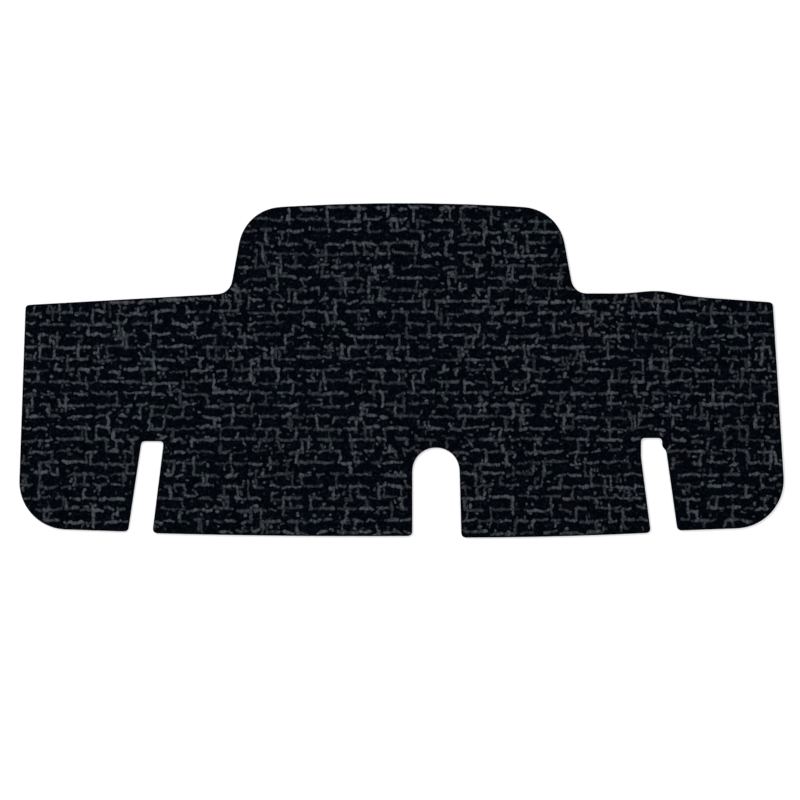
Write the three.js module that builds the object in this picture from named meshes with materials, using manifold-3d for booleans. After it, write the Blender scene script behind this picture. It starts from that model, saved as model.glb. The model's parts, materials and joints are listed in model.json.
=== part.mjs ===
// Trunk mat: one piece of bonded loop carpet, cut to lie round the fittings of a car's load floor.
// Millimetres, +Z up. The pile faces up, the front lip faces -Y and the tongue points to +Y.
// The origin is on the underside, in the middle of the mat's outer box.

import * as THREE from 'three';
import { mergeVertices } from 'three/addons/utils/BufferGeometryUtils.js';
import Module from 'manifold-3d';

// Sheet
const sheetThickness = 7; // backing and ground pile together
const shoulderRound = 1.6; // the pile's rounded shoulder along every cut edge
const shoulderFacets = 2;
const facetError = 0.15; // how far a straight facet may stand off a round edge
const weldDistance = 1e-4;

// Tongue, which reaches back between the wheel housings. X is from its centre line, Y from the front lip.
const tongueReach = 578;
const tongueBackWidth = 541;
const tongueRootWidth = 594;
const tongueCornerRadius = 76;
const tongueRootRadius = 26;
const tongueCrown = 11; // how far the back edge bows past its corners

// Wings
const shoulderDepth = 422; // front lip to the roots of the tongue
const leftTipX = 650;
const leftTipDepth = 402;
const rightTipX = 641;
const rightTipDepth = 406.5;
const tipRadius = 5;
const leftCornerX = 663.5;
const leftCornerSetback = 17; // how far a corner lies behind the foremost line of the lip
const leftCornerRadius = 82;
const rightCornerX = 665.2;
const rightCornerSetback = 19;
const rightCornerRadius = 84;

// Low hump in the right wing's back edge, where the trim stands clear of a bracket
const humpStartX = 385;
const humpCrestX = 443;
const humpEndX = 502;
const humpCrestRise = 5.5; // above the roots of the tongue
const humpEndDrop = 5.5; // below the roots of the tongue
const humpStartRadius = 200;
const humpCrestRadius = 140;
const humpEndRadius = 500;

// Left slot, which leans inward
const leftSlotMouthX = 452;
const leftSlotMouthWidth = 42;
const leftSlotHeadX = 430.5;
const leftSlotHeadWidth = 38.5;
const leftSlotDepth = 166.5;
const leftMouthOuterSetback = 10.3;
const leftMouthInnerSetback = 7.6;

// Right slot: a straight head, a flare below its knees and a small relief step in the outer wall
const rightSlotMouthX = 453.4;
const rightSlotMouthWidth = 46;
const rightSlotHeadX = 431.7;
const rightSlotHeadWidth = 36.5;
const rightSlotDepth = 172;
const rightMouthInnerSetback = 8.3;
const rightMouthOuterSetback = 12.1;
const innerKneeDrop = 33; // below the slot's head
const innerKneeRadius = 50;
const stepDrop = 15; // below the slot's head
const stepWidth = 7;
const stepHeight = 6.5;

const slotCornerRadius = 4;
const mouthRadius = 6;

// Round-headed notch in the front lip
const notchX = 58.5;
const notchWidth = 80.4;
const notchDepth = 155.5;
const notchFlare = 4.3; // extra width at the mouth, on the right
const notchLeftSetback = 2.8;

const apronBow = 2; // how far the lip bows forward between a slot and the notch
const bowPieces = 7;

// How much of an edge a rounded corner may use, where its other end is sharp and where it is rounded too
const roomBesideSharp = 0.98;
const roomBesideRound = 0.499;

// Accent yarn: short runs raised above the ground pile, in rows that wander a little
const rowPitch = 20;
const rowWander = 5.5; // how far apart two runs of a row may lie
const firstStart = 10; // how far outside the mat a row may start
const runLengths = [10, 12, 15, 15, 20, 20, 25, 30, 40];
const skips = [6, 7, 9, 11, 14, 20]; // from one run to the next
const climbs = [10, 10, 15, 15, 20, 20, 25, 30]; // runs that turn off across the rows
const turnShare = 0.7; // share of runs that have such a turn
const turnsAtStart = 0.45; // share of turns at the start of their run
const turnsAtEnd = 0.25; // share at its end; the rest are in its middle
const shortestRun = 20; // shorter ones lie in the ground pile
const yarnWidth = 5.2;
const yarnRise = 1.2;
const yarnRoot = 1; // how deep a yarn is held in the ground pile
const rimClearance = 2.6; // from a yarn's flank to the cut edge
const trimStep = 2.5; // a yarn is cut back to the rim in steps of this length

// What a repeatable number is drawn for
const forSkip = 1;
const forRun = 2;
const forTurn = 3;
const forTurnPlace = 4;
const forClimb = 5;
const forWander = 6;
const forDirection = 7;
const forStart = 9;

function corner(x, y, radius = 0) {
  return { point: new THREE.Vector2(x, y), radius };
}

// The inner points of a shallow bow from one corner to the next, `rise` off their chord, on its right.
function bow(from, to, rise) {
  const chord = to.point.clone().sub(from.point);
  const outward = new THREE.Vector2(chord.y, -chord.x).normalize();
  const points = [];
  for (let k = 1; k < bowPieces; k += 1) {
    const t = k / bowPieces;
    const lift = 4 * rise * t * (1 - t);
    const place = from.point.clone().addScaledVector(chord, t).addScaledVector(outward, lift);
    points.push({ point: place, radius: 0 });
  }
  return points;
}

function room(edge, neighbour) {
  return edge.length() * (neighbour.radius === 0 ? roomBesideSharp : roomBesideRound);
}

// A closed outline through the corners, each rounded by an arc that fits its two edges.
function roundedOutline(corners) {
  const points = [];
  corners.forEach(({ point, radius }, k) => {
    if (radius === 0) {
      points.push(point.clone());
      return;
    }
    const last = corners.at(k - 1);
    const next = corners[(k + 1) % corners.length];
    const toLast = last.point.clone().sub(point);
    const toNext = next.point.clone().sub(point);
    const limit = Math.min(room(toLast, last), room(toNext, next));
    toLast.normalize();
    toNext.normalize();
    const halfAngle = Math.acos(THREE.MathUtils.clamp(toLast.dot(toNext), -1, 1)) / 2;
    const reach = Math.min(radius / Math.tan(halfAngle), limit);
    const r = reach * Math.tan(halfAngle);
    const middle = toLast.clone().add(toNext).normalize();
    const centre = point.clone().addScaledVector(middle, r / Math.sin(halfAngle));
    const start = point.clone().addScaledVector(toLast, reach).sub(centre).angle();
    const end = point.clone().addScaledVector(toNext, reach).sub(centre).angle();
    const turn = THREE.MathUtils.euclideanModulo(end - start + Math.PI, 2 * Math.PI) - Math.PI;
    const step = 2 * Math.acos(1 - facetError / Math.max(r, 2 * facetError));
    const pieces = Math.max(2, Math.ceil(Math.abs(turn) / step));
    for (let n = 0; n <= pieces; n += 1) {
      const angle = start + (turn * n) / pieces;
      points.push(new THREE.Vector2(centre.x + r * Math.cos(angle), centre.y + r * Math.sin(angle)));
    }
  });
  return points;
}

// The cut line, from the left wing's front corner along the lip and round.
function cutLine() {
  const leftMouthOuter = corner(-leftSlotMouthX - leftSlotMouthWidth / 2, leftMouthOuterSetback, mouthRadius);
  const leftHeadOuter = corner(-leftSlotHeadX - leftSlotHeadWidth / 2, leftSlotDepth, slotCornerRadius);
  const leftHeadInner = corner(-leftSlotHeadX + leftSlotHeadWidth / 2, leftSlotDepth, slotCornerRadius);
  const leftMouthInner = corner(-leftSlotMouthX + leftSlotMouthWidth / 2, leftMouthInnerSetback, mouthRadius);

  const notchLeft = notchX - notchWidth / 2;
  const notchRight = notchX + notchWidth / 2;
  const notchMouthLeft = corner(notchLeft, notchLeftSetback, mouthRadius);
  const notchMouthRight = corner(notchRight + notchFlare, 0, mouthRadius);

  const innerWall = rightSlotHeadX - rightSlotHeadWidth / 2;
  const outerWall = rightSlotHeadX + rightSlotHeadWidth / 2;
  const stepTop = rightSlotDepth - stepDrop;
  const rightMouthInner = corner(
    rightSlotMouthX - rightSlotMouthWidth / 2,
    rightMouthInnerSetback,
    mouthRadius,
  );
  const rightMouthOuter = corner(
    rightSlotMouthX + rightSlotMouthWidth / 2,
    rightMouthOuterSetback,
    mouthRadius,
  );

  const backRight = corner(tongueBackWidth / 2, tongueReach - tongueCrown, tongueCornerRadius);
  const backLeft = corner(-tongueBackWidth / 2, tongueReach - tongueCrown, tongueCornerRadius);

  return roundedOutline([
    corner(-leftCornerX, leftCornerSetback, leftCornerRadius),
    leftMouthOuter,
    leftHeadOuter,
    leftHeadInner,
    leftMouthInner,
    ...bow(leftMouthInner, notchMouthLeft, apronBow),
    notchMouthLeft,
    corner(notchLeft, notchDepth, notchWidth / 2),
    corner(notchRight, notchDepth, notchWidth / 2),
    notchMouthRight,
    ...bow(notchMouthRight, rightMouthInner, apronBow),
    rightMouthInner,
    corner(innerWall, rightSlotDepth - innerKneeDrop, innerKneeRadius),
    corner(innerWall, rightSlotDepth, slotCornerRadius),
    corner(outerWall, rightSlotDepth, slotCornerRadius),
    corner(outerWall, stepTop, slotCornerRadius),
    corner(outerWall + stepWidth, stepTop - stepHeight, slotCornerRadius),
    rightMouthOuter,
    corner(rightCornerX, rightCornerSetback, rightCornerRadius),
    corner(rightTipX, rightTipDepth, tipRadius),
    corner(humpEndX, shoulderDepth - humpEndDrop, humpEndRadius),
    corner(humpCrestX, shoulderDepth + humpCrestRise, humpCrestRadius),
    corner(humpStartX, shoulderDepth, humpStartRadius),
    corner(tongueRootWidth / 2, shoulderDepth, tongueRootRadius),
    backRight,
    ...bow(backRight, backLeft, tongueCrown),
    backLeft,
    corner(-tongueRootWidth / 2, shoulderDepth, tongueRootRadius),
    corner(-leftTipX, leftTipDepth, tipRadius),
  ]);
}

// The same points, moved so that the middle of their box is the origin.
function centred(points) {
  const middle = new THREE.Box2().setFromPoints(points).getCenter(new THREE.Vector2());
  return points.map((point) => point.clone().sub(middle));
}

// Turns a closed geometry into a solid that can be joined and cut.
function solidOf(geometry) {
  geometry.deleteAttribute('normal');
  geometry.deleteAttribute('uv');
  const merged = mergeVertices(geometry, weldDistance);
  return new wasm.Manifold(
    new wasm.Mesh({
      numProp: 3,
      vertProperties: new Float32Array(merged.attributes.position.array),
      triVerts: new Uint32Array(merged.index.array),
    }),
  );
}

function geometryOf(solid) {
  const mesh = solid.getMesh();
  const geometry = new THREE.BufferGeometry();
  geometry.setAttribute('position', new THREE.BufferAttribute(mesh.vertProperties, 3));
  geometry.setIndex(new THREE.BufferAttribute(mesh.triVerts, 1));
  geometry.computeVertexNormals();
  return geometry;
}

// The bare sheet: a square cut at the underside and a rounded shoulder at the pile.
function sheet(outline) {
  const spare = 2 * shoulderRound;
  const block = new THREE.ExtrudeGeometry(new THREE.Shape(outline), {
    depth: sheetThickness - shoulderRound + spare,
    bevelEnabled: true,
    bevelThickness: shoulderRound,
    bevelSize: shoulderRound,
    bevelOffset: -shoulderRound,
    bevelSegments: shoulderFacets,
  });
  block.translate(0, 0, -spare);
  const box = new THREE.Box2().setFromPoints(outline).getSize(new THREE.Vector2());
  const below = new THREE.BoxGeometry(2 * box.x, 2 * box.y, 4 * spare);
  below.translate(0, 0, -2 * spare);
  return solidOf(block).subtract(solidOf(below));
}

// A repeatable number from 0 to 1 for a row, a place in it and a purpose.
function chance(row, place, purpose) {
  let h = Math.imul(row + 101, 374761393) ^ Math.imul(place + 211, 668265263);
  h = Math.imul(h ^ (h >>> 15) ^ Math.imul(purpose + 7, 1274126177), 2246822519);
  h = Math.imul(h ^ (h >>> 13), 3266489917);
  return ((h ^ (h >>> 16)) >>> 0) / 4294967296;
}

function pick(row, place, purpose, choices) {
  return choices[Math.floor(choices.length * chance(row, place, purpose))];
}

// Is the point inside the outline and at least `margin` away from it?
function inside(outline, x, y, margin) {
  let within = false;
  for (let k = 0; k < outline.length; k += 1) {
    const a = outline[k];
    const b = outline[(k + 1) % outline.length];
    const dx = b.x - a.x;
    const dy = b.y - a.y;
    const t = THREE.MathUtils.clamp(((x - a.x) * dx + (y - a.y) * dy) / (dx * dx + dy * dy), 0, 1);
    if (Math.hypot(x - a.x - t * dx, y - a.y - t * dy) < margin) {
      return false;
    }
    if (a.y > y !== b.y > y && x < a.x + (dx * (y - a.y)) / dy) {
      within = !within;
    }
  }
  return within;
}

// The longest stretch of a yarn that keeps clear of the rim.
function trimmed(outline, yarn) {
  const margin = rimClearance + yarnWidth / 2;
  const steps = Math.round(yarn.length / trimStep);
  let best = { from: 0, count: 1 };
  let run = { from: 0, count: 0 };
  for (let k = 0; k <= steps; k += 1) {
    const x = yarn.x + (yarn.upright ? 0 : k * trimStep);
    const y = yarn.y + (yarn.upright ? k * trimStep : 0);
    run = inside(outline, x, y, margin) ? { ...run, count: run.count + 1 } : { from: k + 1, count: 0 };
    best = run.count > best.count ? run : best;
  }
  const shift = best.from * trimStep;
  return {
    upright: yarn.upright,
    x: yarn.x + (yarn.upright ? 0 : shift),
    y: yarn.y + (yarn.upright ? shift : 0),
    length: (best.count - 1) * trimStep,
  };
}

// One run after the other along a row, each with its turn if it has one.
function rowOfYarns(row, halfWidth) {
  const yarns = [];
  let x = -halfWidth - firstStart * chance(row, 0, forStart);
  for (let place = 0; x < halfWidth; place += 1) {
    x += pick(row, place, forSkip, skips);
    const length = pick(row, place, forRun, runLengths);
    const y = row * rowPitch + rowWander * (chance(row, place, forWander) - 0.5);
    yarns.push({ x, y, length, upright: false });
    if (chance(row, place, forTurn) < turnShare) {
      const turn = chance(row, place, forTurnPlace);
      const along = turn < turnsAtStart ? 0 : turn < turnsAtStart + turnsAtEnd ? 1 : 0.5;
      const climb = pick(row, place, forClimb, climbs);
      const down = chance(row, place, forDirection) < 0.5 ? climb : 0;
      yarns.push({ x: x + along * length, y: y - down, length: climb, upright: true });
    }
    x += length;
  }
  return yarns;
}

// The longer yarns of all rows, cut back to the rim.
function yarnLayout(outline) {
  const size = new THREE.Box2().setFromPoints(outline).getSize(new THREE.Vector2());
  const rows = Math.floor(size.y / 2 / rowPitch) + 1;
  const yarns = [];
  for (let row = -rows; row <= rows; row += 1) {
    yarns.push(...rowOfYarns(row, size.x / 2));
  }
  return yarns.map((yarn) => trimmed(outline, yarn)).filter((yarn) => yarn.length >= shortestRun);
}

// One yarn: a low bar whose flanks rise from the ground pile to a crown.
function yarnSolid({ x, y, length, upright }) {
  const flank = (yarnWidth / 2) * (1 + yarnRoot / yarnRise);
  const section = new THREE.Shape();
  section.moveTo(-flank, -yarnRoot);
  section.lineTo(flank, -yarnRoot);
  section.lineTo(0, yarnRise);
  const bar = new THREE.ExtrudeGeometry(section, { depth: length, bevelEnabled: false });
  bar.rotateX(Math.PI / 2);
  bar.translate(0, length, 0);
  bar.rotateZ(upright ? 0 : -Math.PI / 2);
  bar.translate(x, y, sheetThickness);
  return solidOf(bar);
}

const wasm = await Module();
wasm.setup();

const outline = centred(cutLine());
let mat = sheet(outline);
for (const yarn of yarnLayout(outline)) {
  mat = mat.add(yarnSolid(yarn));
}

const carpet = new THREE.MeshStandardMaterial({
  name: 'loop_carpet',
  color: 0x14171b,
  roughness: 0.95,
  metalness: 0,
});
const trunkMat = new THREE.Mesh(geometryOf(mat), carpet);
trunkMat.name = 'trunk_mat';

const model = new THREE.Group();
model.add(trunkMat);

export default model;
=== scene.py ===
"""Trunk mat in near-black loop carpet with raised grey accent yarn, lying flat with its pile up.

Metres, in the part's own frame: +X to the right, +Y from the front lip to the rear tongue, +Z up.
The cut outline and the pile's height are read off the part; the pile, the yarn and the backing are
built here, with the same rows of yarn as the part has and the shorter knots between them.
"""

import json
import math

import bpy
import numpy as np
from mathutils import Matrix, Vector
from mathutils.geometry import delaunay_2d_cdt
from mathutils.kdtree import KDTree

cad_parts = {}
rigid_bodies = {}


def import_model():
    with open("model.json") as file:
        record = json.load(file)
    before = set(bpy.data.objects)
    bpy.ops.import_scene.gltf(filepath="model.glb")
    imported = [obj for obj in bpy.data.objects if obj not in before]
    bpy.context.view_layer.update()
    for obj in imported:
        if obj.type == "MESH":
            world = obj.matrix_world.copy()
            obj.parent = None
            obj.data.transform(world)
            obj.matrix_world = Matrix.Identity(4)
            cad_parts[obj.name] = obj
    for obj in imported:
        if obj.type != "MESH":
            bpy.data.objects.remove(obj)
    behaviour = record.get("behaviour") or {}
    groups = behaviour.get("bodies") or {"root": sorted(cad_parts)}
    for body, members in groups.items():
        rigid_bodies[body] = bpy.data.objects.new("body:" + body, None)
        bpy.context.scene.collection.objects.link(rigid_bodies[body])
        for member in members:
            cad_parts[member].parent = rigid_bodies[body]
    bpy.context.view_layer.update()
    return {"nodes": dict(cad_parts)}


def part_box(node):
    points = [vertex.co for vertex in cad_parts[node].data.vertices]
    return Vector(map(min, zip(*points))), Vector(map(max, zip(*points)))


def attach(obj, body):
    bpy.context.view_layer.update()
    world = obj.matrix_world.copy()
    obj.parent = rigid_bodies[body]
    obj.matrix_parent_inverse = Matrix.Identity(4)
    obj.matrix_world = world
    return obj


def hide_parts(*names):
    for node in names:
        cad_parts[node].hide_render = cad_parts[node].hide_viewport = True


for leftover in list(bpy.data.objects):
    bpy.data.objects.remove(leftover)

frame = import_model()

MM = 0.001
MAT_NODE = "trunk_mat"
LOW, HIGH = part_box(MAT_NODE)
MAT_SIZE = HIGH - LOW

# Photograph's framing, in metres on the mat
VIEW_WIDTH = 1.3815
VIEW_CENTRE = (-0.0027, -0.0511)
LENS_MM = 200.0
SENSOR_MM = 36.0
FARTHEST_SEEN = 50.0

# Floor, and how it brightens to plain white away from the mat
FLOOR_HALF = 12.0
FLOOR_GAP = 0.2 * MM
FLOOR_WHITE = 0.94
GLOW_NEAR = 0.32
GLOW_START = 0.9
GLOW_FULL = 2.4

# Share of the white surroundings that lights the mat; the camera sees them whole
AMBIENT = 0.5

# Seed of every random draw
SEED = 20

# Sheet, with its flat area in square metres once it is cut
YARN_RISE = 1.2 * MM
PILE_TOP = HIGH.z - YARN_RISE
BACKING_DEPTH = 2.0 * MM
SHOULDER = 1.6 * MM
SHOULDER_ANGLES = (0, 35, 65)
EDGE_SPACING = 2.5 * MM
EDGE_FRAY = 0.12 * MM

# Reading the part: digits kept of a place in millimetres, and how high its underside may lie
PLACE_DIGITS = 3
UNDERSIDE_LEVEL = 0.01

# Map of the distance to the rim, and how many of its steps reach past the mat
MAP_STEP = 2.0 * MM
MAP_MARGIN = 2

# Filling an outline with triangles: only within it, with nearer points in millimetres taken as one
FILL_WITHIN = 1
FILL_MERGE = 1e-7

# Ground loops: every third point of a triangular lattice is the crown of a loop, and the points
# between them lie lower by a share of the rise
LOOP_STEP = 2.95 * MM
LOOP_RISE = 0.75 * MM
DIP_SHARES = (0.6, 1.0)
LOOP_JITTER = 0.42 * MM
RIM_GAP = 1.2 * MM
LIP_LEVEL = PILE_TOP - LOOP_RISE / 2

# Accent yarn, laid by the same rule as on the part: lengths in millimetres, and shares of the runs
ROW_PITCH = 20.0
ROW_WANDER = 5.5
FIRST_START = 10.0
RUN_LENGTHS = (10, 12, 15, 15, 20, 20, 25, 30, 40)
SKIPS = (6, 7, 9, 11, 14, 20)
CLIMBS = (10, 10, 15, 15, 20, 20, 25, 30)
TURN_SHARE = 0.7
TURNS_AT_START = 0.45
TURNS_AT_END = 0.25
SHORTEST_RUN = 5.0
YARN_CLEARANCE = 3.6

# A yarn's form, in millimetres: half widths along the rows and across them, the sway of its middle
# line, the hook at each end and how far that reaches, and how deep its foot lies in the pile
RUN_HALF_WIDTHS = (3.0, 3.9)
TURN_HALF_WIDTHS = (2.6, 3.5)
YARN_STATION = 1.5
YARN_SWAY = 2.6
YARN_HOOK = 2.5
HOOK_LENGTH = 6.0
YARN_SINK = 0.1
SWAY_PERIOD = 6.0
SLUB_PERIOD = 5.0
LOOP_PERIOD = 2.4

# Lightness of a whole yarn and of a whole knot, from the dimmest to the lightest
YARN_LIGHTS = (0.63, 1.07)
KNOT_LIGHTS = (0.5, 1.1)

# Shares of a yarn's half width, rise and lightness: the least one, and what slubs and loops add
FLANK_SHARES = (0.36, 0.5, 0.62)
HEIGHT_SHARES = (0.6, 0.2, 0.35)
# Lightness rises with the same slubs and loops as the rise: part uneven tone, part painted highlight on
# the crests
LIGHT_SHARES = (0.42, 0.36, 0.62)

# A yarn's section: angle from its flank, and the share of the yarn's lightness there, which falls to 0
# on the flanks as painted shade where the yarn meets the dark pile
SECTION = ((-30, 0.0), (30, 0.7), (90, 1.0), (150, 0.7), (210, 0.0))

# Bare rim that no yarn's flank covers, and the least flank that a yarn keeps, in millimetres
BARE_RIM = 1.2
LEAST_FLANK = 0.2

# A yarn's end, in half widths past its last point, and how far it closes there
END_REACH = 0.8
END_ROUNDING = 0.85

# Knots between the rows: lengths in millimetres, and the share of the places that have a knot
KNOT_STEP = 9.0
KNOT_SHARE = 0.43
KNOT_SPREAD = 16.0
KNOT_CLEARANCE = 3.0
KNOT_RISE = 0.9
KNOT_SWAY = 0.8
SHORTEST_KNOT = 0.5

# A knot's place along its step, as a share of the step, and its tilt off the rows, in radians
KNOT_SHIFT = 0.9
KNOT_TILT = 0.9

# A knot's half length: its reach, times a chance less the share of round knots, and a least share
KNOT_REACH = 4.5
ROUND_SHARE = 0.35
LEAST_REACH_SHARE = 0.15

# A knot's half width: the least one, and what a few wide knots have more
KNOT_HALF_WIDTH = 2.2
KNOT_WIDENING = 1.5
WIDE_RARITY = 1.5

# What each repeatable number decides, for the yarn as on the part and then for the knots
FOR_SKIP = 1
FOR_RUN = 2
FOR_TURN = 3
FOR_TURN_PLACE = 4
FOR_CLIMB = 5
FOR_WANDER = 6
FOR_DIRECTION = 7
FOR_START = 9
FOR_KNOT = 21
FOR_KNOT_SHIFT = 22
FOR_KNOT_SPREAD = 23
FOR_KNOT_HEADING = 26
FOR_KNOT_TILT = 27
FOR_KNOT_REACH = 28

# Sockets of a Mix node that works on colours
MIX_FIRST = 6
MIX_SECOND = 7
MIX_RESULT = 2


def srgb(red, green, blue):
    """A colour written as it shows on a screen, 0 to 255, as linear values."""
    shares = [v / 255 for v in (red, green, blue)]
    return [s / 12.92 if s <= 0.04045 else ((s + 0.055) / 1.055) ** 2.4 for s in shares] + [1.0]


# Cut outline


def read_outline():
    """The cut line as the part has it: the boundary of its underside, counter-clockwise from above."""
    mesh = frame["nodes"][MAT_NODE].data
    mesh.calc_loop_triangles()
    places = np.array([v.co for v in mesh.vertices])
    keys = [tuple(p) for p in np.round(places / MM, PLACE_DIGITS)]
    edges = {}
    for triangle in mesh.loop_triangles:
        corners = [keys[v] for v in triangle.vertices]
        if max(c[2] for c in corners) > UNDERSIDE_LEVEL:
            continue
        for a, b in zip(corners, corners[1:] + corners[:1]):
            edges[(b, a)] = True
    corner_after = {a: b for a, b in edges if (b, a) not in edges}
    start = min(corner_after)
    loop = [start]
    while corner_after[loop[-1]] != start:
        loop.append(corner_after[loop[-1]])
    return np.array([p[:2] for p in loop]) * MM


def resampled(outline, spacing):
    """The outline at even spacing, with its facets smoothed away by two rounds of averaging."""
    closed = np.vstack([outline, outline[:1]])
    along = np.concatenate([[0.0], np.cumsum(np.linalg.norm(np.diff(closed, axis=0), axis=1))])
    count = int(round(along[-1] / spacing))
    stations = np.arange(count) * along[-1] / count
    points = np.stack([np.interp(stations, along, closed[:, k]) for k in (0, 1)], 1)
    for _ in range(2):
        points = 0.5 * points + 0.25 * (np.roll(points, 1, 0) + np.roll(points, -1, 0))
    return points


def inward(points):
    """Unit vectors into the mat at each point of a counter-clockwise outline."""
    along = np.roll(points, -1, 0) - np.roll(points, 1, 0)
    along /= np.linalg.norm(along, axis=1)[:, None]
    return np.stack([-along[:, 1], along[:, 0]], 1)


def within(places, starts, ends):
    """Which places lie inside the closed loops made of the edges from starts to ends."""
    inside = np.zeros(len(places), bool)
    for (ax, ay), (bx, by) in zip(starts, ends):
        if ay == by:
            continue
        crosses = (ay > places[:, 1]) != (by > places[:, 1])
        at = ax + (bx - ax) * (places[:, 1] - ay) / (by - ay)
        inside ^= crosses & (places[:, 0] < at)
    return inside


def clearance_map(outline):
    """A function that says how far places lie from the outline: above 0 inside it, below 0 outside."""
    rim = resampled(outline, MAP_STEP / 2)
    tree = KDTree(len(rim))
    for k, (x, y) in enumerate(rim):
        tree.insert((x, y, 0.0), k)
    tree.balance()
    origin = np.array([LOW.x, LOW.y]) - MAP_MARGIN * MAP_STEP
    columns = int(MAT_SIZE.x / MAP_STEP) + 2 * MAP_MARGIN + 1
    rows = int(MAT_SIZE.y / MAP_STEP) + 2 * MAP_MARGIN + 1
    xs = origin[0] + MAP_STEP * np.arange(columns)
    ys = origin[1] + MAP_STEP * np.arange(rows)
    depth = np.array([[tree.find((x, y, 0.0))[2] for x in xs] for y in ys])
    ends = np.roll(rim, -1, 0)
    for row, y in enumerate(ys):
        crossed = (rim[:, 1] > y) != (ends[:, 1] > y)
        (ax, ay), (bx, by) = rim[crossed].T, ends[crossed].T
        crossings = np.sort(ax + (bx - ax) * (y - ay) / (by - ay))
        outside = np.searchsorted(crossings, xs) % 2 == 0
        depth[row, outside] *= -1

    def clearance(places):
        steps = (places - origin) / MAP_STEP
        cell = np.clip(steps.astype(int), 0, (columns - 2, rows - 2))
        across, up = np.clip(steps - cell, 0, 1).T
        column, row = cell.T
        near = depth[row, column] * (1 - across) + depth[row, column + 1] * across
        far = depth[row + 1, column] * (1 - across) + depth[row + 1, column + 1] * across
        return near * (1 - up) + far * up

    return clearance


# Meshes


def new_object(name, points, faces, materials, face_materials=None, flat_material=None):
    """An object with smooth shading, apart from the faces whose material is the flat one."""
    mesh = bpy.data.meshes.new(name)
    mesh.from_pydata(np.asarray(points, float), [], faces)
    for material in materials:
        mesh.materials.append(material)
    if face_materials is not None:
        mesh.polygons.foreach_set("material_index", np.asarray(face_materials, np.int32))
    for face in mesh.polygons:
        face.use_smooth = face.material_index != flat_material
    mesh.validate()
    mesh.update()
    made = bpy.data.objects.new(name, mesh)
    bpy.context.scene.collection.objects.link(made)
    return made


def loop_lattice(clearance):
    """A triangular lattice over the mat: its points, their crowns and the triangles clear of the rim."""
    row_step = LOOP_STEP * math.sqrt(3) / 2
    columns = int(MAT_SIZE.x / LOOP_STEP) + 2
    rows = int(MAT_SIZE.y / row_step) + 2
    column, row = np.meshgrid(np.arange(columns), np.arange(rows))
    x = LOW.x + LOOP_STEP * (column + 0.5 * (row % 2))
    y = LOW.y + row_step * row
    places = np.stack([x.ravel(), y.ravel()], 1)
    crown = ((column + row // 2 + row) % 3 == 0).ravel()
    number = np.arange(rows * columns).reshape(rows, columns)
    triangles = []
    for r in range(rows - 1):
        here, above = number[r], number[r + 1]
        a, b, c, d = here[:-1], here[1:], above[:-1], above[1:]
        if r % 2 == 0:
            triangles += [np.stack([a, b, c], 1), np.stack([b, d, c], 1)]
        else:
            triangles += [np.stack([a, b, d], 1), np.stack([a, d, c], 1)]
    triangles = np.vstack(triangles)
    clear = clearance(places) > SHOULDER + RIM_GAP
    return places, crown, triangles[clear[triangles].all(1)]


def boundary(triangles):
    """The directed edges that only one of the triangles has."""
    edges = np.vstack([triangles[:, [0, 1]], triangles[:, [1, 2]], triangles[:, [2, 0]]])
    own = {tuple(e) for e in edges.tolist()}
    return np.array(sorted(e for e in own if (e[1], e[0]) not in own))


def rim_triangles(ring, places, edges):
    """Triangles between the closed ring and the edges of the lattice inside it."""
    used = np.unique(edges)
    slot = {v: k + len(ring) for k, v in enumerate(used.tolist())}
    points = np.vstack([ring, places[used]])
    ties = [(k, (k + 1) % len(ring)) for k in range(len(ring))]
    ties += [(slot[a], slot[b]) for a, b in edges.tolist()]
    made = delaunay_2d_cdt([Vector(p) for p in points / MM], ties, [], FILL_WITHIN, FILL_MERGE)
    faces = np.array(made[2])
    origins = [o[0] for o in made[3]]
    middles = points[[origins[v] for v in faces.ravel()]].reshape(-1, 3, 2).mean(1)
    faces = faces[~within(middles, places[edges[:, 0]], places[edges[:, 1]])]
    number = np.concatenate([np.arange(len(ring)), used + len(ring)])
    return number[np.array(origins)[faces]]


def cut_levels():
    """The cut from the underside up: how far in from the outline each ring of it lies, and how high."""
    levels = [(0.0, 0.0), (0.0, BACKING_DEPTH)]
    for angle in SHOULDER_ANGLES:
        a = math.radians(angle)
        levels.append((SHOULDER * (1 - math.cos(a)), LIP_LEVEL - SHOULDER * (1 - math.sin(a))))
    return levels


def cut_faces(count, levels):
    """Quads round the cut between its rings of so many points, and the lip above them."""
    here = np.arange(count)
    after = np.roll(here, -1)
    faces = []
    for level in range(levels):
        low, high = level * count, (level + 1) * count
        faces += np.stack([here + low, after + low, after + high, here + high], 1).tolist()
    return faces


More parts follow.
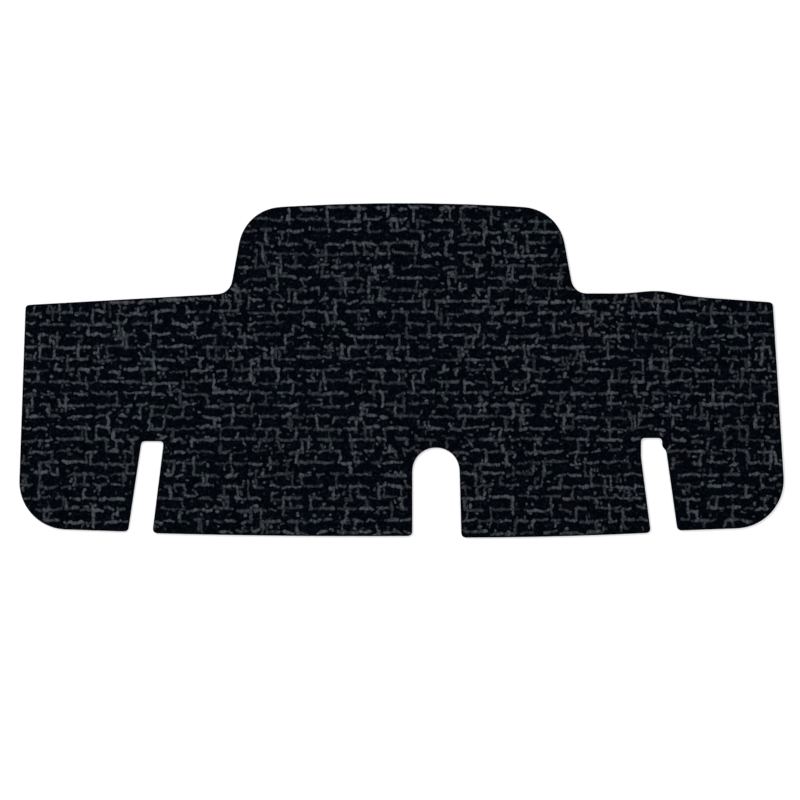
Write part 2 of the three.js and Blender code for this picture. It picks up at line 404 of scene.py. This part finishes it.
def build_sheet(outline, clearance, pile, backing, draw):
    """The bonded sheet: looped pile on top, a rounded shoulder, a straight cut and a flat back."""
    edge = resampled(outline, EDGE_SPACING)
    count = len(edge)
    normal = inward(edge)
    fray = draw.uniform(0, EDGE_FRAY, count)[:, None]
    rings = []
    for depth, z in cut_levels():
        ring = edge + normal * (depth + fray * (z > 0))
        rings.append(np.column_stack([ring, np.full(count, z)]))
    top_ring = edge + normal * SHOULDER
    lip = np.column_stack([top_ring, np.full(count, LIP_LEVEL)])

    places, crown, triangles = loop_lattice(clearance)
    band = rim_triangles(top_ring, places, boundary(triangles))
    dips = LOOP_RISE * draw.uniform(*DIP_SHARES, len(places))
    heights = PILE_TOP - np.where(crown, 0.0, dips)
    moved = places + draw.uniform(-LOOP_JITTER, LOOP_JITTER, places.shape)
    lattice = np.column_stack([moved, heights])

    points = np.vstack(rings + [lip, lattice])
    first_lip = len(rings) * count
    first_lattice = first_lip + count
    wall = cut_faces(count, len(rings))
    top = (triangles + first_lattice).tolist() + (band + first_lip).tolist()
    corners = [Vector(p) for p in edge / MM]
    filled = delaunay_2d_cdt(corners, [], [list(range(count))], FILL_WITHIN, FILL_MERGE)
    underside = [list(reversed(f)) for f in filled[2]]
    faces = wall + top + underside
    of_pile = 0
    of_backing = 1
    worn = [of_backing] * count
    worn += [of_pile] * (len(faces) - count - len(underside))
    worn += [of_backing] * len(underside)

    used = np.unique(np.concatenate([np.asarray(f) for f in faces]))
    renumber = np.full(len(points), -1)
    renumber[used] = np.arange(len(used))
    faces = [renumber[np.asarray(f)].tolist() for f in faces]
    return new_object(
        "loop_carpet_sheet", points[used], faces, [pile, backing], worn, flat_material=of_backing
    )


# Accent yarn


def chance(row, place, purpose):
    """A repeatable number from 0 to 1 for a row, a place in it and a purpose, as on the part."""
    word = 0xFFFFFFFF
    h = ((row + 101) * 374761393 & word) ^ ((place + 211) * 668265263 & word)
    h = ((h ^ (h >> 15) ^ ((purpose + 7) * 1274126177 & word)) * 2246822519) & word
    h = ((h ^ (h >> 13)) * 3266489917) & word
    return (h ^ (h >> 16)) / 4294967296


def pick(row, place, purpose, choices):
    """One of the choices, the same one each time."""
    return choices[int(len(choices) * chance(row, place, purpose))]


def row_of_yarns(row, half_width):
    """One run after the other along a row, each with its turn if it has one: (start, end, upright)."""
    runs = []
    x = -half_width - FIRST_START * chance(row, 0, FOR_START)
    place = 0
    while x < half_width:
        x += pick(row, place, FOR_SKIP, SKIPS)
        length = pick(row, place, FOR_RUN, RUN_LENGTHS)
        y = row * ROW_PITCH + ROW_WANDER * (chance(row, place, FOR_WANDER) - 0.5)
        runs.append((np.array([x, y]), np.array([x + length, y]), False))
        if chance(row, place, FOR_TURN) < TURN_SHARE:
            turn = chance(row, place, FOR_TURN_PLACE)
            along = 0 if turn < TURNS_AT_START else 1 if turn < TURNS_AT_START + TURNS_AT_END else 0.5
            climb = pick(row, place, FOR_CLIMB, CLIMBS)
            drop = climb if chance(row, place, FOR_DIRECTION) < 0.5 else 0
            foot = np.array([x + along * length, y - drop])
            runs.append((foot, foot + [0, climb], True))
        x += length
        place += 1
    return runs


def knots_of_row(row, half_width):
    """Short knots in the ground between one row of yarn and the next: (start, end)."""
    knots = []
    columns = int(half_width / KNOT_STEP) + 1
    for column in range(-columns, columns + 1):
        if chance(row, column, FOR_KNOT) > KNOT_SHARE:
            continue
        middle = np.array([
            KNOT_STEP * (column + KNOT_SHIFT * (chance(row, column, FOR_KNOT_SHIFT) - 0.5)),
            ROW_PITCH * (row + 0.5) + KNOT_SPREAD * (chance(row, column, FOR_KNOT_SPREAD) - 0.5),
        ])
        angle = math.pi / 2 * int(2 * chance(row, column, FOR_KNOT_HEADING))
        angle += KNOT_TILT * (chance(row, column, FOR_KNOT_TILT) - 0.5)
        reach = KNOT_REACH * max(LEAST_REACH_SHARE, chance(row, column, FOR_KNOT_REACH) - ROUND_SHARE)
        half = reach * np.array([math.cos(angle), math.sin(angle)])
        knots.append((middle - half, middle + half))
    return knots


def wander(draw, along, period):
    """Smooth random values from 0 to 1 along a yarn."""
    count = int(along[-1] / period) + 3
    values = draw.random(count)
    t = along / period
    k = t.astype(int)
    f = t - k
    f = f * f * (3 - 2 * f)
    return values[k] * (1 - f) + values[k + 1] * f


def blended(shares, slub, loops):
    """A share along a yarn: the least one, with what its slubs and its loops add."""
    least, by_slub, by_loop = shares
    return least + by_slub * slub + by_loop * loops


def yarn_tube(start, end, half_width, rise, light, sway, hook, clearance, draw):
    """Points, lightness with painted shade on the flanks, and stations of one slubbed yarn, lying in the
    pile from start to end.
    """
    length = float(np.linalg.norm(end - start))
    cap = END_REACH * half_width
    count = max(4, int(round((length + 2 * cap) / YARN_STATION)) + 1)
    along = np.linspace(-cap, length + cap, count)
    travel = along + cap
    heading = (end - start) / length
    side = np.array([-heading[1], heading[0]])
    shift = sway * (wander(draw, travel, SWAY_PERIOD) - 0.5)
    shift += hook[0] * np.clip(1 - along / HOOK_LENGTH, 0, 1)
    shift += hook[1] * np.clip(1 - (length - along) / HOOK_LENGTH, 0, 1)
    beyond = np.clip(np.maximum(-along, along - length) / cap, 0, 1)
    rounding = np.sqrt(1 - END_ROUNDING * beyond ** 2)
    centre = start + along[:, None] * heading + shift[:, None] * side
    room = np.maximum(clearance(centre * MM) / MM - BARE_RIM, LEAST_FLANK)
    slub = wander(draw, travel, SLUB_PERIOD)
    flanks = []
    for _ in range(2):
        flank = half_width * blended(FLANK_SHARES, slub, wander(draw, travel, LOOP_PERIOD))
        flanks.append(np.minimum(flank * rounding, room))
    loops = wander(draw, travel, LOOP_PERIOD)
    height = rise * blended(HEIGHT_SHARES, slub, loops) * rounding
    # Lighter where slubs and loops rise: the yarn's uneven tone, and a painted highlight on its raised
    # loops
    tone_and_crest_light = light * blended(LIGHT_SHARES, slub, loops)
    rings = []
    lights = []
    # Each ring gets its share of the lightness: painted shade darkens the flanks, the crown keeps it all
    for angle, share in SECTION:
        a = math.radians(angle)
        reach = math.cos(a) * (flanks[0] if angle < 90 else flanks[1])
        rings.append(np.column_stack([centre + reach[:, None] * side, math.sin(a) * height]))
        lights.append(share * tone_and_crest_light)
    points = np.stack(rings, 1).reshape(-1, 3)
    return points, np.stack(lights, 1).ravel(), count


def tube_faces(count, sides, first):
    """Quads round a tube of so many stations, closed by one face at each end."""
    faces = []
    for k in range(count - 1):
        here, after = first + k * sides, first + (k + 1) * sides
        for s in range(sides):
            n = (s + 1) % sides
            faces.append((here + s, here + n, after + n, after + s))
    faces.append(tuple(first + s for s in reversed(range(sides))))
    last = first + (count - 1) * sides
    faces.append(tuple(last + s for s in range(sides)))
    return faces


def stretch_clear(start, end, clearance, margin, shortest):
    """The longest stretch from start to end that keeps its margin from the rim, or None."""
    steps = max(2, int(np.linalg.norm(end - start)) + 1)
    t = np.linspace(0, 1, steps)[:, None]
    places = start + (end - start) * t
    clear = np.concatenate([[False], clearance(places * MM) > margin * MM, [False]])
    turns = np.flatnonzero(clear[1:] != clear[:-1])
    if len(turns) == 0:
        return None
    spans = turns.reshape(-1, 2)
    a, b = spans[np.argmax(spans[:, 1] - spans[:, 0])]
    first, last = places[a], places[b - 1]
    return (first, last) if np.linalg.norm(last - first) >= shortest else None


def build_yarns(name, tubes, material):
    """One object from many yarns, each given as points, lightness with painted flank shade, and its
    number of stations.
    """
    points = []
    lights = []
    faces = []
    first = 0
    for tube, light, count in tubes:
        faces += tube_faces(count, len(SECTION), first)
        points.append(tube)
        lights.append(light)
        first += len(tube)
    points = np.vstack(points) * MM
    points[:, 2] += PILE_TOP - YARN_SINK * MM
    made = new_object(name, points, faces, [material])
    shade = made.data.attributes.new("yarn_light_and_flank_shade", "FLOAT", "POINT")
    shade.data.foreach_set("value", np.concatenate(lights).astype(np.float32))
    return made


def lay_yarns(clearance, draw):
    """The tubes of all runs along the rows, of all turns across them, and of all knots."""
    half_width = MAT_SIZE.x / 2 / MM
    rows = int(MAT_SIZE.y / 2 / MM // ROW_PITCH) + 1
    rise = YARN_RISE / MM
    no_hook = (0.0, 0.0)
    across = []
    upright = []
    knots = []
    for row in range(-rows, rows + 1):
        for start, end, turned in row_of_yarns(row, half_width):
            light = draw.uniform(*YARN_LIGHTS)
            half = draw.uniform(*(TURN_HALF_WIDTHS if turned else RUN_HALF_WIDTHS))
            hook = draw.uniform(-YARN_HOOK, YARN_HOOK, 2)
            span = stretch_clear(start, end, clearance, YARN_CLEARANCE, SHORTEST_RUN)
            if span is not None:
                tube = yarn_tube(*span, half, rise, light, YARN_SWAY, hook, clearance, draw)
                (upright if turned else across).append(tube)
        for start, end in knots_of_row(row, half_width):
            light = draw.uniform(*KNOT_LIGHTS)
            half = KNOT_HALF_WIDTH + KNOT_WIDENING * draw.random() ** WIDE_RARITY
            span = stretch_clear(start, end, clearance, KNOT_CLEARANCE, SHORTEST_KNOT)
            if span is not None:
                tube = yarn_tube(*span, half, KNOT_RISE, light, KNOT_SWAY, no_hook, clearance, draw)
                knots.append(tube)
    return across, upright, knots


# Materials

# Distance from a loop's middle, in loop widths, at its foot and at its crest
LOOP_FOOT = 0.68
LOOP_CREST = 0.12

# How far the fibres' mottle moves the shade of the yarn, and how much of the loops its relief has
YARN_MOTTLE = 0.7
LOOPS_IN_YARN = 0.35


def new_material(name):
    """A material with its nodes, its links and its shader."""
    material = bpy.data.materials.new(name)
    material.use_nodes = True
    nodes = material.node_tree.nodes
    return material, nodes, material.node_tree.links, nodes["Principled BSDF"]


def fibre_group():
    """Loops and fibres: a height for bumps, a mottle, and a mask that is 0 between the loops."""
    group = bpy.data.node_groups.new("loop_and_fibre", "ShaderNodeTree")
    for name, default in (("Loop Scale", 420.0), ("Fibre Scale", 2600.0), ("Fibre Share", 0.4)):
        socket = group.interface.new_socket(name, in_out="INPUT", socket_type="NodeSocketFloat")
        socket.default_value = default
    for name in ("Height", "Mottle", "Crown"):
        group.interface.new_socket(name, in_out="OUTPUT", socket_type="NodeSocketFloat")
    nodes, links = group.nodes, group.links
    given = nodes.new("NodeGroupInput")
    result = nodes.new("NodeGroupOutput")
    place = nodes.new("ShaderNodeTexCoord").outputs["Object"]
    loops = nodes.new("ShaderNodeTexVoronoi")
    fibres = nodes.new("ShaderNodeTexNoise")
    fibres.inputs["Detail"].default_value = 3.0
    links.new(place, loops.inputs["Vector"])
    links.new(place, fibres.inputs["Vector"])
    links.new(given.outputs["Loop Scale"], loops.inputs["Scale"])
    links.new(given.outputs["Fibre Scale"], fibres.inputs["Scale"])
    crown = nodes.new("ShaderNodeMapRange")
    crown.interpolation_type = "SMOOTHSTEP"
    crown.inputs["From Min"].default_value = LOOP_FOOT
    crown.inputs["From Max"].default_value = LOOP_CREST
    links.new(loops.outputs["Distance"], crown.inputs["Value"])
    height = nodes.new("ShaderNodeMath")
    height.operation = "MULTIPLY_ADD"
    links.new(fibres.outputs["Fac"], height.inputs[0])
    links.new(given.outputs["Fibre Share"], height.inputs[1])
    links.new(crown.outputs["Result"], height.inputs[2])
    links.new(height.outputs[0], result.inputs["Height"])
    links.new(fibres.outputs["Fac"], result.inputs["Mottle"])
    links.new(crown.outputs["Result"], result.inputs["Crown"])
    return group


def tint_group():
    """Slow drifts of green, blue and brown over the whole mat, as dyed stock has."""
    group = bpy.data.node_groups.new("dye_drift", "ShaderNodeTree")
    colour = group.interface.new_socket("Color", in_out="INPUT", socket_type="NodeSocketColor")
    colour.default_value = (0.5, 0.5, 0.5, 1.0)
    strength = group.interface.new_socket("Strength", in_out="INPUT", socket_type="NodeSocketFloat")
    strength.default_value = 0.3
    group.interface.new_socket("Color", in_out="OUTPUT", socket_type="NodeSocketColor")
    nodes, links = group.nodes, group.links
    given = nodes.new("NodeGroupInput")
    result = nodes.new("NodeGroupOutput")
    place = nodes.new("ShaderNodeTexCoord").outputs["Object"]
    drift = nodes.new("ShaderNodeTexNoise")
    drift.inputs["Scale"].default_value = 22.0
    drift.inputs["Detail"].default_value = 2.0
    links.new(place, drift.inputs["Vector"])
    dyes = ramp(nodes, links, drift.outputs["Fac"], (
        (0.30, (1.14, 0.99, 0.95, 1.0)),
        (0.44, (1.0, 1.0, 1.0, 1.0)),
        (0.56, (1.0, 1.0, 1.0, 1.0)),
        (0.70, (0.85, 1.16, 0.98, 1.0)),
    ))
    tint = nodes.new("ShaderNodeMix")
    tint.data_type = "RGBA"
    tint.blend_type = "MULTIPLY"
    links.new(given.outputs["Strength"], tint.inputs["Factor"])
    links.new(given.outputs["Color"], tint.inputs[MIX_FIRST])
    links.new(dyes, tint.inputs[MIX_SECOND])
    links.new(tint.outputs[MIX_RESULT], result.inputs["Color"])
    return group


def painted_shade_group():
    """Painted shade: darkens a colour between loops and strands, where the mask is 0, down to a share of
    it.
    """
    group = bpy.data.node_groups.new("painted_crevice_shade", "ShaderNodeTree")
    colour = group.interface.new_socket("Color", in_out="INPUT", socket_type="NodeSocketColor")
    colour.default_value = (0.5, 0.5, 0.5, 1.0)
    for name, default in (("Mask", 1.0), ("Dark Share", 0.3)):
        socket = group.interface.new_socket(name, in_out="INPUT", socket_type="NodeSocketFloat")
        socket.default_value = default
    group.interface.new_socket("Color", in_out="OUTPUT", socket_type="NodeSocketColor")
    nodes, links = group.nodes, group.links
    given = nodes.new("NodeGroupInput")
    result = nodes.new("NodeGroupOutput")
    share = nodes.new("ShaderNodeMapRange")
    links.new(given.outputs["Mask"], share.inputs["Value"])
    links.new(given.outputs["Dark Share"], share.inputs["To Min"])
    tone = nodes.new("ShaderNodeVectorMath")
    tone.operation = "SCALE"
    links.new(given.outputs["Color"], tone.inputs[0])
    links.new(share.outputs["Result"], tone.inputs["Scale"])
    links.new(tone.outputs["Vector"], result.inputs["Color"])
    return group


def place_group(nodes, group, **values):
    """A node that uses the group, with the values given for its sockets."""
    node = nodes.new("ShaderNodeGroup")
    node.node_tree = group
    for key, value in values.items():
        node.inputs[key.replace("_", " ")].default_value = value
    return node


def bumped(nodes, links, shader, height, distance):
    """Gives the shader a relief from a height, as deep as the distance."""
    bump = nodes.new("ShaderNodeBump")
    bump.inputs["Distance"].default_value = distance
    bump.inputs["Strength"].default_value = 1.0
    links.new(height, bump.inputs["Height"])
    links.new(bump.outputs["Normal"], shader.inputs["Normal"])


def ramp(nodes, links, value, stops):
    """A colour that follows a value through the stops, each a position and its colour."""
    made = nodes.new("ShaderNodeValToRGB")
    while len(made.color_ramp.elements) < len(stops):
        made.color_ramp.elements.new(0.5)
    for element, (position, colour) in zip(made.color_ramp.elements, stops):
        element.position = position
        element.color = colour
    links.new(value, made.inputs["Fac"])
    return made.outputs["Color"]


def pile_material(fibres, dyes, painted_crevice_shading):
    """Near-black navy ground loops, with dim grey fibres here and there and painted shade between the
    loops.
    """
    material, nodes, links, shader = new_material("ground_pile")
    texture = place_group(nodes, fibres, Loop_Scale=430.0, Fibre_Scale=2400.0, Fibre_Share=0.5)
    place = nodes.new("ShaderNodeTexCoord").outputs["Object"]
    patches = nodes.new("ShaderNodeTexNoise")
    patches.inputs["Scale"].default_value = 260.0
    patches.inputs["Detail"].default_value = 2.0
    links.new(place, patches.inputs["Vector"])
    shades = ramp(nodes, links, patches.outputs["Fac"], (
        (0.40, srgb(3, 10, 19)),
        (0.52, srgb(10, 16, 25)),
        (0.62, srgb(22, 27, 36)),
        (0.74, srgb(39, 44, 52)),
    ))
    tinted = place_group(nodes, dyes, Strength=0.6)
    # Painted shade between the ground loops, down to 0.35 of the colour
    deep = place_group(nodes, painted_crevice_shading, Dark_Share=0.35)
    links.new(shades, deep.inputs["Color"])
    links.new(texture.outputs["Crown"], deep.inputs["Mask"])
    links.new(deep.outputs["Color"], tinted.inputs["Color"])
    links.new(tinted.outputs["Color"], shader.inputs["Base Color"])
    shader.inputs["Roughness"].default_value = 1.0
    shader.inputs["Specular IOR Level"].default_value = 0.0
    bumped(nodes, links, shader, texture.outputs["Height"], distance=1.2 * MM)
    return material


def yarn_material(fibres, dyes, painted_crevice_shading):
    """Grey accent yarn: twisted strands sinking into the dark pile, with painted shade between the
    strands and on its flanks, so it is lightest on its crowns.
    """
    material, nodes, links, shader = new_material("accent_yarn")
    texture = place_group(nodes, fibres, Loop_Scale=900.0, Fibre_Scale=420.0, Fibre_Share=0.5)
    place = nodes.new("ShaderNodeTexCoord").outputs["Object"]
    strands = nodes.new("ShaderNodeTexWave")
    strands.bands_direction = "DIAGONAL"
    for name, value in (("Scale", 420.0), ("Distortion", 5.0), ("Detail", 2.0), ("Detail Scale", 1.2)):
        strands.inputs[name].default_value = value
    links.new(place, strands.inputs["Vector"])
    light = nodes.new("ShaderNodeAttribute")
    light.attribute_name = "yarn_light_and_flank_shade"
    mottled = nodes.new("ShaderNodeMath")
    mottled.operation = "MULTIPLY_ADD"
    mottled.inputs[1].default_value = YARN_MOTTLE
    links.new(texture.outputs["Mottle"], mottled.inputs[0])
    lowered = nodes.new("ShaderNodeMath")
    lowered.operation = "SUBTRACT"
    lowered.inputs[1].default_value = YARN_MOTTLE / 2
    links.new(light.outputs["Fac"], lowered.inputs[0])
    links.new(lowered.outputs[0], mottled.inputs[2])
    # From the pile's near-black at 0, where painted shade darkens the yarn's flanks, up to light grey
    shades = ramp(nodes, links, mottled.outputs[0], (
        (0.0, srgb(8, 12, 18)),
        (0.35, srgb(35, 39, 46)),
        (0.7, srgb(74, 79, 87)),
        (1.0, srgb(114, 119, 127)),
    ))
    tinted = place_group(nodes, dyes, Strength=0.5)
    # Painted shade between the twisted strands
    deep = place_group(nodes, painted_crevice_shading, Dark_Share=0.3)
    links.new(shades, deep.inputs["Color"])
    links.new(strands.outputs["Fac"], deep.inputs["Mask"])
    links.new(deep.outputs["Color"], tinted.inputs["Color"])
    links.new(tinted.outputs["Color"], shader.inputs["Base Color"])
    shader.inputs["Roughness"].default_value = 0.9
    shader.inputs["Specular IOR Level"].default_value = 0.06
    relief = nodes.new("ShaderNodeMath")
    relief.operation = "MULTIPLY_ADD"
    relief.inputs[1].default_value = LOOPS_IN_YARN
    links.new(texture.outputs["Height"], relief.inputs[0])
    links.new(strands.outputs["Fac"], relief.inputs[2])
    bumped(nodes, links, shader, relief.outputs[0], distance=0.7 * MM)
    return material


def backing_material(fibres, painted_crevice_shading):
    """Matt black latex with a fine pebble, and painted shade in the hollows between its pebbles."""
    material, nodes, links, shader = new_material("latex_backing")
    texture = place_group(nodes, fibres, Loop_Scale=300.0, Fibre_Scale=1500.0, Fibre_Share=0.25)
    shades = ramp(nodes, links, texture.outputs["Mottle"], (
        (0.3, srgb(10, 10, 11)),
        (0.7, srgb(21, 21, 22)),
    ))
    # Painted shade in the hollows of the pebble, down to 0.45 of the colour
    deep = place_group(nodes, painted_crevice_shading, Dark_Share=0.45)
    links.new(shades, deep.inputs["Color"])
    links.new(texture.outputs["Crown"], deep.inputs["Mask"])
    links.new(deep.outputs["Color"], shader.inputs["Base Color"])
    shader.inputs["Roughness"].default_value = 0.8
    shader.inputs["Specular IOR Level"].default_value = 0.12
    bumped(nodes, links, shader, texture.outputs["Height"], distance=1.5 * MM)
    return material


# Studio


def seen_directly(nodes, links):
    """1 for what the camera sees, also in a gloss or through a clear part, and 0 for other light."""
    paths = nodes.new("ShaderNodeLightPath")
    seen = paths.outputs["Is Camera Ray"]
    for kind in ("Is Glossy Ray", "Is Transmission Ray"):
        either = nodes.new("ShaderNodeMath")
        either.operation = "MAXIMUM"
        links.new(seen, either.inputs[0])
        links.new(paths.outputs[kind], either.inputs[1])
        seen = either.outputs[0]
    return seen


def build_floor():
    """A white floor under the mat, which takes its shadow and glows more the farther it lies from it."""
    half = FLOOR_HALF
    level = LOW.z - FLOOR_GAP
    corners = [(-half, -half, level), (half, -half, level), (half, half, level), (-half, half, level)]
    material, nodes, links, shader = new_material("studio_floor")
    shader.inputs["Base Color"].default_value = (FLOOR_WHITE, FLOOR_WHITE, FLOOR_WHITE, 1.0)
    shader.inputs["Roughness"].default_value = 1.0
    shader.inputs["Specular IOR Level"].default_value = 0.0
    shader.inputs["Emission Color"].default_value = (1.0, 1.0, 1.0, 1.0)
    distance = nodes.new("ShaderNodeVectorMath")
    distance.operation = "LENGTH"
    links.new(nodes.new("ShaderNodeTexCoord").outputs["Object"], distance.inputs[0])
    spread = nodes.new("ShaderNodeMapRange")
    spread.inputs["From Min"].default_value = GLOW_START
    spread.inputs["From Max"].default_value = GLOW_FULL
    spread.inputs["To Min"].default_value = GLOW_NEAR
    spread.inputs["To Max"].default_value = 1.0
    links.new(distance.outputs["Value"], spread.inputs["Value"])
    glow = nodes.new("ShaderNodeMath")
    glow.operation = "MULTIPLY"
    links.new(seen_directly(nodes, links), glow.inputs[0])
    links.new(spread.outputs["Result"], glow.inputs[1])
    links.new(glow.outputs[0], shader.inputs["Emission Strength"])
    floor = new_object("studio_floor", corners, [(0, 1, 2, 3)], [material])
    return floor


def add_lamp(name, place, size, power):
    """A square lamp that faces the middle of the mat, with its size in metres and power in watts."""
    data = bpy.data.lights.new(name, "AREA")
    data.shape = "SQUARE"
    data.size = size
    data.energy = power
    lamp = bpy.data.objects.new(name, data)
    bpy.context.scene.collection.objects.link(lamp)
    lamp.location = place
    lamp.rotation_euler = (-Vector(place)).to_track_quat("-Z", "Y").to_euler()
    return lamp


def build_studio():
    """White surroundings, a key lamp from the rear left and a weaker one from the front right."""
    scene = bpy.context.scene
    scene.view_settings.view_transform = "Standard"
    world = bpy.data.worlds.new("studio_world")
    world.use_nodes = True
    scene.world = world
    nodes, links = world.node_tree.nodes, world.node_tree.links
    background = nodes["Background"]
    background.inputs["Color"].default_value = (1.0, 1.0, 1.0, 1.0)
    seen = nodes.new("ShaderNodeMath")
    seen.operation = "MULTIPLY_ADD"
    seen.inputs[1].default_value = 1 - AMBIENT
    seen.inputs[2].default_value = AMBIENT
    links.new(seen_directly(nodes, links), seen.inputs[0])
    links.new(seen.outputs[0], background.inputs["Strength"])
    add_lamp("key_lamp", place=(-1.6, 1.4, 3.2), size=2.2, power=70.0)
    add_lamp("fill_lamp", place=(2.0, -1.8, 3.0), size=2.6, power=24.0)


def build_camera():
    """The photograph's camera: high above the mat, looking straight down through a long lens."""
    data = bpy.data.cameras.new("photo_camera")
    data.lens = LENS_MM
    data.sensor_width = SENSOR_MM
    data.clip_end = FARTHEST_SEEN
    camera = bpy.data.objects.new("photo_camera", data)
    bpy.context.scene.collection.objects.link(camera)
    distance = VIEW_WIDTH * LENS_MM / SENSOR_MM
    camera.location = (*VIEW_CENTRE, PILE_TOP + distance)
    bpy.context.scene.camera = camera


def main():
    build_camera()
    build_studio()
    floor = build_floor()
    fibres = fibre_group()
    dyes = tint_group()
    # Painted shade for the hollows between loops and strands
    painted_crevice_shading = painted_shade_group()
    pile = pile_material(fibres, dyes, painted_crevice_shading)
    yarn = yarn_material(fibres, dyes, painted_crevice_shading)
    backing = backing_material(fibres, painted_crevice_shading)
    draw = np.random.default_rng(SEED)

    outline = read_outline()
    clearance = clearance_map(outline)
    sheet = build_sheet(outline, clearance, pile, backing, draw)
    across, upright, knots = lay_yarns(clearance, draw)
    runs = build_yarns("accent_runs", across, yarn)
    turns = build_yarns("accent_turns", upright, yarn)
    specks = build_yarns("accent_knots", knots, yarn)

    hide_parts(MAT_NODE)
    for piece in (sheet, runs, turns, specks):
        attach(piece, "root")


main()
